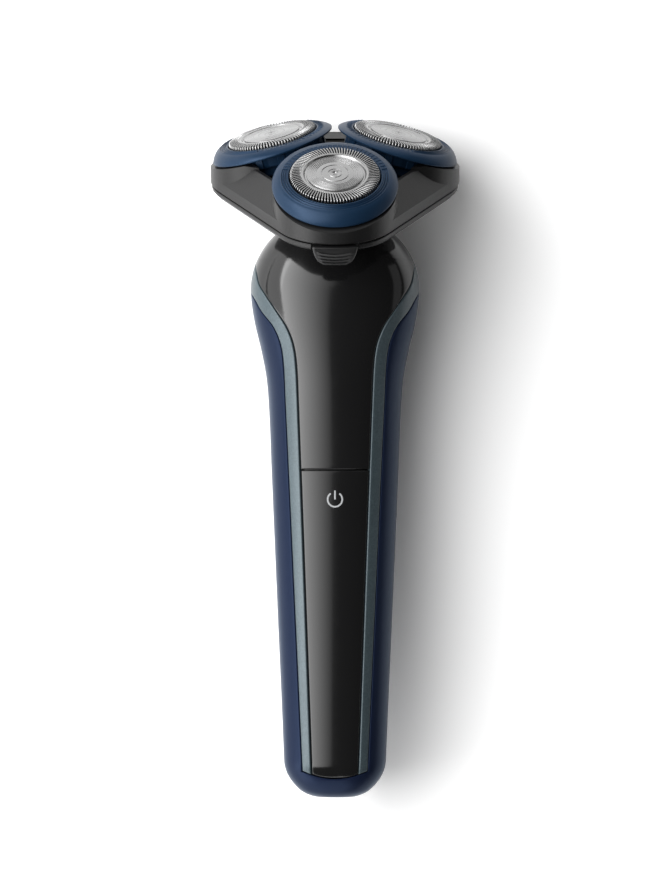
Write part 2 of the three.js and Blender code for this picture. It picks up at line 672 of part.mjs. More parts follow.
function addHead(name) {
  const frame = headFrames[name];
  const around = (count, solid) => {
    const turn = (i) => new THREE.Matrix4().makeRotationZ((i / count) * 2 * PI);
    return union(...[...Array(count).keys()].map((i) => moved(solid, turn(i))));
  };

  const skirt = shifted(
    turned([[0, -9], [14.6, -9], [15, -4.6], [15, -3.2], [14.4, -2.1], [12.7, -0.8], [0, -0.8]], 28),
    ring.shift, 0, 0,
  ).intersect(aboveRingFace(0));
  const under = union(disc(cup.wide, cup.shoulder, -1.5, 24), disc(cup.radius, cup.low, -1.5, 24));
  const trunnion = union(disc(0.6, 9.9, 11.7, 12), disc(0.6, -11.7, -9.9, 12));
  const trunnions = shifted(alongY(trunnion), 0, 0, pivot);
  const groove = tube(12, 12.3, -1.05, 0, 28).intersect(span([0, -20, -2], [20, 20, 2]));
  const body = union(skirt, under, trunnions)
    .subtract(disc(ring.bore, -3.5, 2, 28))
    .subtract(disc(9.5, -20, 2, 24))
    .subtract(groove);
  add(`ring_${name}`, body, paint.ringBlue, frame);

  const inner = guard.radius - guard.wall;
  const cap = turned([
    [0, 0], [5.2, 0], [5.6, -0.45], [7.4, -0.45], [7.8, 0], [10.35, 0], [guard.radius, -0.4],
    [guard.radius, -guard.depth], [inner, -guard.depth], [inner, -0.62], [10.2, -guard.wall],
    [7.9, -guard.wall], [7.5, -0.8], [0, -0.8],
  ], 24);
  const slots = around(12, span([8.1, 0.65, -1.4], [20, 1.2, 1]));
  add(`guard_${name}`, cap.subtract(slots), paint.steel, frame);

  const twist = new THREE.Matrix4().makeRotationX(0.35);
  const blade = moved(span([7.9, -0.2, -2.5], [10, 0.2, -0.7]), twist);
  const cutter = union(
    tube(2.9, 10, -2.9, -2.3, 20),
    disc(3.4, -8.4, -2.3, 16),
    around(9, blade),
  ).subtract(disc(2.5, -9, -3.3, 6));
  add(`cutter_${name}`, cutter, paint.steel, frame);

  const clip = union(
    tube(8.2, 9.2, -7, -6.2, 16),
    tube(4, 5.2, -7, -6.2, 12),
    around(3, span([4.6, -0.8, -7], [8.8, 0.8, -6.2])),
  );
  add(`retainer_${name}`, clip, paint.satinBlack, frame);
}

// ---------------------------------------------------------------- trimmer

function addTrimmer() {
  const outer = handleForm(0.05, 28, fineHeights);
  const skin = outer.subtract(handleForm(4.9, 20, coarseHeights));
  const { halfWidth, high, hinge, barrel } = trimmer;
  const slab = span([-halfWidth, 9, hinge[2]], [halfWidth, far, high - 1.9]).intersect(skin);
  const pinBore = shifted(alongX(disc(0.75, -20, 20, 12)), ...hinge);
  const round = shifted(alongX(disc(barrel, -halfWidth, halfWidth, 20)), ...hinge);
  const combRoom = span([-halfWidth + 0.8, 14.3, 92], [halfWidth - 0.8, 17, high]);
  const arm = union(slab, round.intersect(outer)).subtract(pinBore).subtract(combRoom);
  add('trimmer_arm', arm, paint.satinBlack);
  add('trimmer_pin', shifted(alongX(disc(0.65, -9.7, 9.7, 12)), ...hinge), paint.steel);

  const pitch = 1.15;
  const comb = toothed({ low: 93, root: 98.9, tip: 100.9, count: 12, pitch, halfWidth: 7 });
  add('trimmer_comb', through(comb, 16, 16.7), paint.steel);
  const blade = toothed({ low: 93.6, root: 98.8, tip: 100.6, count: 10, pitch, halfWidth: 5.85 });
  add('trimmer_blade', through(blade, 14.9, 15.7), paint.darkSteel);

  const slideSkin = handleForm(-0.6, 20, coarseHeights).subtract(handleForm(0.75, 20, coarseHeights));
  const button = span([-2, 9, trimmerSlide.low - 2], [2, far, trimmerSlide.low + 3.2]);
  const thumb = button.intersect(slideSkin);
  const stem = span([-0.9, 9, trimmerSlide.low], [0.9, 60, trimmerSlide.low + 2.4])
    .intersect(handleForm(0.3, 20, coarseHeights))
    .subtract(handleForm(3.2, 20, coarseHeights));
  add('trimmer_switch', union(thumb, stem), paint.satinBlack);
}

// The outline of a comb: a plate from low to root, with teeth up to tip.
function toothed({ low, root, tip, count, pitch, halfWidth }) {
  const points = [[-halfWidth, low], [halfWidth, low], [halfWidth, root]];
  for (let i = count - 1; i >= 0; i--) {
    const x = (i + 0.5 - count / 2) * pitch;
    points.push([x + pitch * 0.28, root], [x + pitch * 0.18, tip]);
    points.push([x - pitch * 0.18, tip], [x - pitch * 0.28, root]);
  }
  return [...points, [-halfWidth, root]];
}

addHandleShells();
addHandleInside();
addFrame();
addCarrier();
addBase();
addReleaseTab();
addGears();
headNames.forEach(addHead);
addTrimmer();

export default shaver;
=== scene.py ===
"""Rotary electric shaver: fine visible surfaces, materials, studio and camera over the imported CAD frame.

Lengths are in millimetres until a mesh is made, and metres in Blender.
The handle's form is section(); the shaving unit and each shaving head have a frame of their own.
"""

import json
from math import acos, atan2, cos, hypot, pi, radians, sin, sqrt

import bmesh
import bpy
from mathutils import Matrix, Vector


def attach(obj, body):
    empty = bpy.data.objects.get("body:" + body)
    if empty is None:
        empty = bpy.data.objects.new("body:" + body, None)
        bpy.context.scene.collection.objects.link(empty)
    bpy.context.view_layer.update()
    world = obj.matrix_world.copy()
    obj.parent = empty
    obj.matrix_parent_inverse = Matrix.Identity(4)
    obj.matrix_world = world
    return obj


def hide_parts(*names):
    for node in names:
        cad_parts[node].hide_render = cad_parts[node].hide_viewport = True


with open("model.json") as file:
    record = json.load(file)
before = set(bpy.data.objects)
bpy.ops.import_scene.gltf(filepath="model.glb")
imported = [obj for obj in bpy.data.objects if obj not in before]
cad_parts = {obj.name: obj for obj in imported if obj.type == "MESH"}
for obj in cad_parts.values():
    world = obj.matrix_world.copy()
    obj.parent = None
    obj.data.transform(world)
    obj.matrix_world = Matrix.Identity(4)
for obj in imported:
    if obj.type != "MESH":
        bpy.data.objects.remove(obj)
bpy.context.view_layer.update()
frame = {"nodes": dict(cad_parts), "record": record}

MM = 0.001

# ---------------------------------------------------------------- dimensions shared with the solids

# The handle's widest height, its top, the seam between the two panels, and the collar's edges at the back.
SHOULDER, TOP, SEAM = 122.6, 141.5, 79.0
COLLAR_LOW, COLLAR_HIGH = 122.5, 129.8
FOOT_ROUND = 9.0
# Exponent of the superellipse that is the handle's section.
SQUARE = 2.4
# The shaving unit's tilt to the handle, the heads' lean, and how far the heads are from the unit's axis.
TILT, LEAN, SPREAD = radians(24.5), radians(15), 17.75
UNIT_CENTRE = Vector((0, -8.65, 156.7))
ANGLES = {"front": radians(-90), "right": radians(30), "left": radians(150)}
# In a head's frame: its tilt axis, the guard's radius, and the ring's offset and lower face.
PIVOT = -7.3
GUARD_R = 10.75
RING_R = 15.0
RING_SHIFT, RING_FACE, RING_SLANT = 0.5, -3.2, 2.6 / 30
# In the unit's frame: the hinge at the back, and the joint between the frame and the base.
HINGE = (22.3, -12.6)
RIM = -12.5

UNIT = Matrix.Translation(UNIT_CENTRE) @ Matrix.Rotation(TILT, 4, "X")
HEADS = {
    name: UNIT
    @ Matrix.Translation((SPREAD * cos(a), SPREAD * sin(a), 0))
    @ Matrix.Rotation(a, 4, "Z")
    @ Matrix.Rotation(LEAN, 4, "Y")
    for name, a in ANGLES.items()
}


def curve(knots):
    """A smooth curve through (position, value) knots."""

    def slope(i):
        a, b = knots[max(i - 1, 0)], knots[min(i + 1, len(knots) - 1)]
        return (b[1] - a[1]) / (b[0] - a[0])

    def value(z):
        i = 0
        while i < len(knots) - 2 and z > knots[i + 1][0]:
            i += 1
        (z0, v0), (z1, v1) = knots[i], knots[i + 1]
        t = min(max((z - z0) / (z1 - z0), 0), 1)
        ease = t * t * (3 - 2 * t)
        bend = (z1 - z0) * (t * (1 - t) ** 2 * slope(i) - t * t * (1 - t) * slope(i + 1))
        return v0 + (v1 - v0) * ease + bend

    return value


half_width = curve(
    [(0, 12), (21, 12.85), (50, 14.15), (79, 15.4), (93.5, 16), (101, 16.6), (108, 17.9),
     (115.3, 19.6), (122.6, 20.4), (129, 19.6)]
)
front_depth = curve([(0, 10.2), (40, 11.6), (80, 13), (110, 15.2), (122.6, 16.2), (130, 16.4)])
back_depth = curve([(0, 10.2), (40, 12.4), (80, 13.6), (110, 15.8), (122.6, 16.5), (130, 16.6)])
centre_line = curve([(0, 0), (30, 0.8), (70, 2.6), (100, 3.2), (122.6, 1.8), (141.5, 2.8)])
trim_edge = curve(
    [(5, 7.8), (96, 12), (105, 12.45), (109.5, 13.2), (113.4, 14.9), (117.2, 17.8), (121.1, 19.8),
     (124, 21.2)]
)
panel_edge = curve(
    [(5, 5.65), (96, 9), (105, 9.45), (109.5, 10.2), (113.4, 11.8), (117.2, 14.3), (121.1, 16.9),
     (123.5, 18.3), (126, 18.8), (131, 18.8)]
)


def lower_arc(x):
    """Height of the panels' lower end, which rises towards the sides."""
    lowest, radius = 4.9, 19.7
    return lowest + radius - sqrt(radius**2 - x * x)


def spans(z, inset=0):
    """Half-width, front depth and back depth of the handle at a height, moved inwards by inset."""

    def dome(power):
        t = (z - SHOULDER) / (TOP - inset - SHOULDER)
        return 1 if t <= 0 else max(1 - min(t, 1) ** power, 0) ** (1 / power)

    def foot(depth, corner):
        lift = max(z - inset, 0)
        edge = max(1 - lift / 1.8, 0)
        return depth * max(1 - lift / FOOT_ROUND, 0) ** 2.2 + corner * (1 - sqrt(1 - edge**2))

    h = min(z, SHOULDER)
    return (
        (half_width(h) - foot(5.6, 2.2) - inset) * dome(2),
        (front_depth(h) - foot(4.2, 2) - inset) * dome(2),
        (back_depth(h) - foot(4.2, 0.5) - inset) * dome(3.2),
    )


def section(z, angle, inset=0):
    """A point of the handle's surface; angle -90 degrees is the front, and 0 the right side."""
    width, front, back = spans(z, inset)
    c, s = cos(angle), sin(angle)
    x = width * (1 if c > 0 else -1) * abs(c) ** (2 / SQUARE)
    y = (front if s < 0 else back) * (1 if s > 0 else -1) * abs(s) ** (2 / SQUARE)
    return Vector((x, centre_line(z) + y, z))


def angle_at(x, z):
    """The front-right section angle whose point is at half-width x."""
    return -acos(min(x / spans(z)[0], 1) ** (SQUARE / 2))


def speed(z, angle):
    """Length along the section for each radian of angle."""
    step = 0.01
    return (section(z, angle + step) - section(z, angle - step)).length / (2 * step)


def back_y(x, z):
    """How far back the handle's surface is at (x, z)."""
    t = -angle_at(max(abs(x), 0.01), z)
    return section(z, t if x > 0 else pi - t).y


# ---------------------------------------------------------------- mesh building


class Form:
    """Collects grids and becomes one smooth-shaded piece."""

    def __init__(self, matrix=None):
        self.points, self.faces, self.matrix = [], [], matrix

    def grid(self, rows, ring=False, skip=None):
        """Faces between neighbouring rows; ring closes each row, and skip(i, j) leaves a face out."""
        base, wide = len(self.points), len(rows[0])
        for row in rows:
            self.points += [tuple(p) for p in row]
        for j in range(len(rows) - 1):
            for i in range(wide if ring else wide - 1):
                if skip and skip(i, j):
                    continue
                k = (i + 1) % wide
                a, b = base + j * wide, base + (j + 1) * wide
                self.faces.append((a + i, a + k, b + k, b + i))
        return self

    def fan(self, loop, centre):
        """Triangles from a closed loop to one point."""
        base = len(self.points)
        self.points += [tuple(p) for p in loop] + [tuple(centre)]
        n = len(loop)
        self.faces += [(base + i, base + (i + 1) % n, base + n) for i in range(n)]
        return self

    def join(self, other, place=None):
        """Adds the points, moved by place, and the faces of another form; its own matrix isn't used."""
        base = len(self.points)
        place = place or Matrix.Identity(4)
        self.points += [tuple(place @ Vector(p)) for p in other.points]
        self.faces += [tuple(base + i for i in face) for face in other.faces]

    def mesh(self, name, weld=0.002):
        data = bpy.data.meshes.new(name)
        data.from_pydata([Vector(p) for p in self.points], [], self.faces)
        if self.matrix:
            data.transform(self.matrix)
        data.transform(Matrix.Scale(MM, 4))
        bm = bmesh.new()
        bm.from_mesh(data)
        bmesh.ops.remove_doubles(bm, verts=bm.verts, dist=weld * MM)
        bmesh.ops.dissolve_degenerate(bm, edges=bm.edges, dist=1e-7)
        bmesh.ops.recalc_face_normals(bm, faces=bm.faces)
        bm.to_mesh(data)
        bm.free()
        return data


def make(name, shape, slot, body, nodes=(), sharp=32, look=None):
    """Puts a form or a mesh in the scene as a piece that rides on a body and stands for CAD nodes."""
    data = shape.mesh(name) if isinstance(shape, Form) else shape
    obj = bpy.data.objects.new(name, data)
    bpy.context.scene.collection.objects.link(obj)
    data.materials.clear()
    data.materials.append(paint[look or slot])
    data.polygons.foreach_set("use_smooth", [True] * len(data.polygons))
    data.set_sharp_from_angle(angle=radians(sharp))
    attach(obj, body)
    if nodes:
        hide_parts(*nodes)
    return obj


def lerp(a, b, n):
    """The n + 1 evenly spaced values from a to b."""
    return [a + (b - a) * i / n for i in range(n + 1)]


def bevel(radius, depth):
    """(distance from the edge, inset) pairs from the foot of a side wall to the end of its rounding."""
    arc = [(radius * (1 - cos(a)), radius * (1 - sin(a))) for a in lerp(0, pi / 2, 4)]
    return [(0, depth)] + arc


# ---------------------------------------------------------------- materials


def material(name, color, roughness, metallic=0.0, grain=900.0, bump=0.02, **extra):
    """A Principled material with grain in its colour, roughness and height."""
    mottle, spread = 0.05, 0.15
    mat = bpy.data.materials.new(name)
    mat.use_nodes = True
    nodes, links = mat.node_tree.nodes, mat.node_tree.links
    shader = nodes["Principled BSDF"]
    where = nodes.new("ShaderNodeTexCoord")
    fine = nodes.new("ShaderNodeTexNoise")
    fine.inputs["Scale"].default_value = grain
    fine.inputs["Detail"].default_value = 3
    broad = nodes.new("ShaderNodeTexNoise")
    broad.inputs["Scale"].default_value = 60
    broad.inputs["Detail"].default_value = 4
    for noise in (fine, broad):
        links.new(where.outputs["Object"], noise.inputs["Vector"])
    tint = nodes.new("ShaderNodeMix")
    tint.data_type = "RGBA"
    tint.inputs["A"].default_value = (*[c * (1 - mottle) for c in color], 1)
    tint.inputs["B"].default_value = (*[min(c * (1 + mottle), 1) for c in color], 1)
    links.new(broad.outputs["Fac"], tint.inputs["Factor"])
    links.new(tint.outputs["Result"], shader.inputs["Base Color"])
    rough = nodes.new("ShaderNodeMapRange")
    rough.inputs["To Min"].default_value = roughness * (1 - spread)
    rough.inputs["To Max"].default_value = roughness * (1 + spread)
    links.new(fine.outputs["Fac"], rough.inputs["Value"])
    links.new(rough.outputs["Result"], shader.inputs["Roughness"])
    height = nodes.new("ShaderNodeBump")
    height.inputs["Strength"].default_value = bump
    height.inputs["Distance"].default_value = 0.0002
    links.new(fine.outputs["Fac"], height.inputs["Height"])
    links.new(height.outputs["Normal"], shader.inputs["Normal"])
    shader.inputs["Metallic"].default_value = metallic
    for key, value in extra.items():
        shader.inputs[key.replace("_", " ")].default_value = value
    return mat


def flaked(mat, scale, strength):
    """Adds metal flake: each cell of a fine lattice is a little lighter or darker, and glints."""
    nodes, links = mat.node_tree.nodes, mat.node_tree.links
    shader = nodes["Principled BSDF"]
    where = nodes["Texture Coordinate"]
    cells = nodes.new("ShaderNodeTexVoronoi")
    cells.inputs["Scale"].default_value = scale
    links.new(where.outputs["Object"], cells.inputs["Vector"])
    source = shader.inputs["Base Color"].links[0].from_socket
    glint = nodes.new("ShaderNodeHueSaturation")
    amount = nodes.new("ShaderNodeMapRange")
    amount.inputs["To Min"].default_value = 1 - strength
    amount.inputs["To Max"].default_value = 1 + strength
    grey = nodes.new("ShaderNodeRGBToBW")
    links.new(cells.outputs["Color"], grey.inputs["Color"])
    links.new(grey.outputs["Val"], amount.inputs["Value"])
    links.new(amount.outputs["Result"], glint.inputs["Value"])
    links.new(source, glint.inputs["Color"])
    links.new(glint.outputs["Color"], shader.inputs["Base Color"])


def turned_finish(mat, rings, strength):
    """Fine concentric lines; the piece's UV map runs outwards in U and round the axis in V."""
    nodes, links = mat.node_tree.nodes, mat.node_tree.links
    shader = nodes["Principled BSDF"]
    uv = nodes.new("ShaderNodeUVMap")
    uv.uv_map = "turned"
    stretch = nodes.new("ShaderNodeMapping")
    stretch.inputs["Scale"].default_value = (rings, 0, 0)
    lines = nodes.new("ShaderNodeTexNoise")
    lines.inputs["Scale"].default_value = 1
    lines.inputs["Detail"].default_value = 5
    links.new(uv.outputs["UV"], stretch.inputs["Vector"])
    links.new(stretch.outputs["Vector"], lines.inputs["Vector"])
    height = nodes.new("ShaderNodeBump")
    height.inputs["Strength"].default_value = strength
    height.inputs["Distance"].default_value = 0.00005
    links.new(lines.outputs["Fac"], height.inputs["Height"])
    links.new(height.outputs["Normal"], shader.inputs["Normal"])
    outwards = nodes.new("ShaderNodeTangent")
    outwards.direction_type = "UV_MAP"
    outwards.uv_map = "turned"
    links.new(outwards.outputs["Tangent"], shader.inputs["Tangent"])
    shader.inputs["Anisotropic"].default_value = 0.5


FINISHES = {
    "panel_black": dict(
        color=(0.006, 0.006, 0.0062), roughness=0.12, grain=400, bump=0.004, Specular_IOR_Level=0.52
    ),
    "housing_navy": dict(
        color=(0.0085, 0.0135, 0.034), roughness=0.3, metallic=0.25, grain=1500, bump=0.05, IOR=1.26,
        Specular_Tint=(0.55, 0.75, 1, 1),
    ),
    "trim_steel_blue": dict(
        color=(0.054, 0.076, 0.087), roughness=0.34, metallic=0.25, grain=2500, bump=0.05
    ),
    "frame_black": dict(
        color=(0.0062, 0.0062, 0.0064), roughness=0.37, grain=2600, bump=0.12, Specular_IOR_Level=0.36
    ),
    "ring_blue": dict(
        color=(0.0085, 0.027, 0.060), roughness=0.36, metallic=0.3, grain=2200, bump=0.08, IOR=1.3
    ),
    "inner_grey": dict(color=(0.05, 0.052, 0.055), roughness=0.6, grain=1500, bump=0.1),
    "gear_white": dict(color=(0.62, 0.61, 0.55), roughness=0.5, grain=1200, bump=0.05),
    "board_green": dict(color=(0.012, 0.08, 0.035), roughness=0.4, grain=1800, bump=0.1),
    "cell_wrap": dict(color=(0.04, 0.17, 0.08), roughness=0.35, grain=500, bump=0.05),
    "light_white": dict(color=(0.36, 0.37, 0.38), roughness=0.4),
    "seal_rubber": dict(color=(0.012, 0.012, 0.012), roughness=0.75, grain=1500, bump=0.2),
    "steel": dict(color=(0.62, 0.62, 0.62), roughness=0.24, metallic=1, grain=1800, bump=0.05),
    "guard_steel": dict(color=(0.35, 0.35, 0.35), roughness=0.24, metallic=1, grain=1800, bump=0.03),
    # Darker steel, given to the cutters as painted shade: they sit in the dim space under the guard's
    # slots, while the real cutters are bright steel.
    "dark_steel": dict(color=(0.10, 0.105, 0.115), roughness=0.4, metallic=1, grain=1500, bump=0.05),
    "nickel": dict(color=(0.5, 0.46, 0.36), roughness=0.3, metallic=1, grain=1500, bump=0.05),
}
paint = {name: material(name, **look) for name, look in FINISHES.items()}
flaked(paint["trim_steel_blue"], 4200, 0.25)
turned_finish(paint["guard_steel"], 45, 0.25)

slots = {s["node"]: s["material_slot"] for s in frame["record"]["subparts"]}
for node, obj in frame["nodes"].items():
    # The cutters get the darker steel as painted shade for the dim space under the guard's slots.
    finish = paint["dark_steel" if node.startswith("cutter") else slots[node]]
    if not obj.material_slots:
        obj.data.materials.append(finish)
    for slot in obj.material_slots:
        slot.material = finish

# ---------------------------------------------------------------- handle shells

ROUND = 0.28
EDGE = bevel(ROUND, 1.15)
# The power panel's side walls are short and lean inwards, so they clear the trim when it is pressed.
PRESSED = [(s + max(d - ROUND, 0) * 1.2, d) for s, d in bevel(ROUND, 0.6)]
# How far the dark bed below the seams is under the surface.
BED = 1.75
# Distances from a seam's middle to the pieces on its two sides, and to the power panel.
NEAR, FAR, LOOSE = 0.12, 0.15, 0.17
SEAM_HALF = 0.13
# Heights where the trim's outer edge and its inner edge start to turn towards the back.
TRIM_TURN, PANEL_TURN = 118, 124


def panel_angle(z, grow=0.0):
    """Section angle of the panel's right edge; it meets the silhouette where the collar ends."""
    base = angle_at(max(panel_edge(z) + grow, 0.1), z)
    blend = min(max((z - PANEL_TURN) / (COLLAR_HIGH - PANEL_TURN), 0), 1)
    return base * (1 - blend**3)


def trim_angle(z, grow=0.0):
    """Section angle of the trim's outer edge on the right, below the collar."""
    return angle_at(trim_edge(z) + grow, z)


def patch(heights, right, left, inner, walls=True):
    """Rows over (height, inset) and columns from the right edge to the left edge, both given as angles."""
    rows = []
    for z, inset in heights:
        start, end = right(z), left(z)
        before, after = [], []
        if walls:
            turn = 1 if end > start else -1
            near_rate = speed(z, start + 0.02 * turn)
            far_rate = speed(z, end - 0.02 * turn)
            before = [(start + turn * s / near_rate, d) for s, d in EDGE[:-1]]
            after = [(end - turn * s / far_rate, d) for s, d in reversed(EDGE[:-1])]
            start += turn * ROUND / near_rate
            end -= turn * ROUND / far_rate
        columns = before + [(t, 0) for t in lerp(start, end, inner)] + after
        rows.append([section(z, t, max(inset, d)) for t, d in columns])
    return rows


def heights_between(low, high, step, edge=EDGE, top_wall=True):
    """(height, inset) pairs up a patch, with a side wall at its lower end and maybe at its upper end."""
    radius = edge[-1][0]
    rows = [(low + s, d) for s, d in edge[:-1]]
    a = low + radius
    b = high - radius if top_wall else high
    rows += [(z, 0) for z in lerp(a, b, max(int((b - a) / step), 2))]
    if top_wall:
        rows += [(high - s, d) for s, d in reversed(edge[:-1])]
    return rows


def mirror(rows):
    return [[Vector((-p[0], p[1], p[2])) for p in row] for row in rows]


def front_panel():
    form = Form()

    def right(z):
        return panel_angle(z, -NEAR)

    face = heights_between(SEAM + SEAM_HALF, COLLAR_HIGH, 0.7, top_wall=False)
    form.grid(patch(face, right, lambda z: -pi - right(z), 64))
    top = TOP - 0.02
    dome = [(top - (top - COLLAR_HIGH) * (1 - t) ** 2.2, 0) for t in lerp(0, 1, 36)]
    form.grid(patch(dome, lambda z: 0, lambda z: -pi, 64, walls=False))
    low = COLLAR_HIGH + SEAM_HALF
    lip = [(low + s, d) for s, d in EDGE[:-1]]
    dome_back = lip + [(max(z, low + ROUND), 0) for z, _ in dome]
    form.grid(patch(dome_back, lambda z: 0, lambda z: pi, 64, walls=False))
    make("front_panel_skin", form, "panel_black", "handle", ["front_panel"])


def power_panel():
    form = Form()
    top = SEAM - LOOSE
    columns = [(-1, s, d) for s, d in PRESSED[:-1]] + [(f, None, 0) for f in lerp(-1, 1, 48)]
    columns += [(1, s, d) for s, d in reversed(PRESSED[:-1])]
    radius = PRESSED[-1][0]
    lows = [(s, d, 0) for s, d in PRESSED[:-1]] + [(radius, 0, t) for t in lerp(0, 1, 100)]
    highs = [(s, d, 1) for s, d in reversed(PRESSED[:-1])]
    rows = []
    for offset, inset, t in lows + highs:
        row = []
        for f, s, d in columns:
            low = lower_arc(f * 5.6) + FAR
            if t == 1 and (offset, inset, t) in highs:
                z = top - offset
            elif inset:
                z = low + offset
            else:
                z = low + radius + (top - radius - low - radius) * t
            edge_angle = panel_angle(z, -LOOSE)
            rate = speed(z, edge_angle - 0.02)
            if s is None:
                limit = edge_angle - radius / rate
                angle = -pi / 2 + f * (limit + pi / 2)
            else:
                angle = -pi / 2 + f * (edge_angle - s / rate + pi / 2)
            row.append(section(z, angle, max(inset, d)))
        rows.append(row)
    form.grid(rows)
    make("power_panel_skin", form, "panel_black", "power_button", ["power_panel"])


def power_mark():
    """The generic power symbol, a broken ring and a bar, standing slightly proud of the power panel."""
    form = Form()
    centre, ring_r, bar, half, gap = 71.9, 1.75, 2.14, 0.19, radians(36)
    stroke = [(-1, -0.03), (-1, 0.012), (-0.8, 0.02), (0.8, 0.02), (1, 0.012), (1, -0.03)]

    def place(x, z, lift):
        turn = pi / 2 + angle_at(abs(x), z)
        return section(z, -pi / 2 + turn * (1 if x > 0 else -1), -lift)

    rows = []
    for a in lerp(pi / 2 + gap, 5 * pi / 2 - gap, 60):
        radii = [(ring_r + half * u, lift) for u, lift in stroke]
        rows.append([place(r * cos(a), centre + r * sin(a), lift) for r, lift in radii])
    form.grid(rows)
    form.grid([[place(half * u, centre + bar * v, lift) for u, lift in stroke] for v in lerp(0, 1, 8)])
    make("power_mark", form, "light_white", "power_button", ["power_light_guide"])


def trim():
    """A ribbon from the handle's lower end up each side of the panel and round the back as a collar."""
    form = Form()
    split = 112.0
    low_in, low_out = lower_arc(5.75) + NEAR, lower_arc(7.8) + NEAR
    stations = [(low_in + s, low_out + s, None, d) for s, d in EDGE[:-1]]
    start_in, start_out = low_in + ROUND, low_out + ROUND
    for t in lerp(0, 1, 110):
        stations.append((start_in + (split - start_in) * t, start_out + (split - start_out) * t, None, 0))
    for t in lerp(0, 1, 46)[1:]:
        stations.append((split + (COLLAR_HIGH - split) * t, split + (COLLAR_LOW - split) * t, None, 0))
    for t in lerp(0, 1, 40)[1:]:
        stations.append((COLLAR_HIGH, COLLAR_LOW, t * pi / 2, 0))
    rows = []
    for z_in, z_out, back, inset in stations:
        a_in = panel_angle(z_in, FAR) if back is None else back
        a_out = trim_angle(z_out) if back is None else back
        if back is None and z_out > TRIM_TURN:
            a_out *= 1 - min((z_out - TRIM_TURN) / (COLLAR_LOW - TRIM_TURN), 1) ** 4
        width = (section(z_in, a_in) - section(z_out, a_out)).length
        columns = [(s / width, d) for s, d in EDGE]
        columns += [(f, 0) for f in lerp(ROUND / width, 1 - ROUND / width, 12)[1:-1]]
        columns += [(1 - s / width, d) for s, d in reversed(EDGE)]
        row = []
        for f, d in columns:
            row.append(section(z_in + (z_out - z_in) * f, a_in + (a_out - a_in) * f, max(inset, d)))
        rows.append(row)
    form.grid(rows)
    form.grid(mirror(rows))
    make("trim_skin", form, "trim_steel_blue", "handle", ["trim_frame"])


def seam_bed():
    """A dark surface below the seams between the panels, the trim and the housing."""
    form = Form()

    def right(z):
        return trim_angle(z, 0.6) if z < 121 else 0

    front = [(z, BED) for z in lerp(5.2, COLLAR_HIGH, 150)]
    form.grid(patch(front, right, lambda z: -pi - right(z), 60, walls=False))
    behind = [(z, BED) for z in lerp(120, COLLAR_HIGH + 0.6, 12)]
    form.grid(patch(behind, lambda z: 0, lambda z: pi, 40, walls=False))
    make("seam_bed", form, "frame_black", "handle")


# Openings in the back, as lower height, upper height and half-width: the trimmer's and its thumb slide's.
WELL = (77.3, 101.3, 8.5)
SLOT = (65.3, 75.0, 2.4)


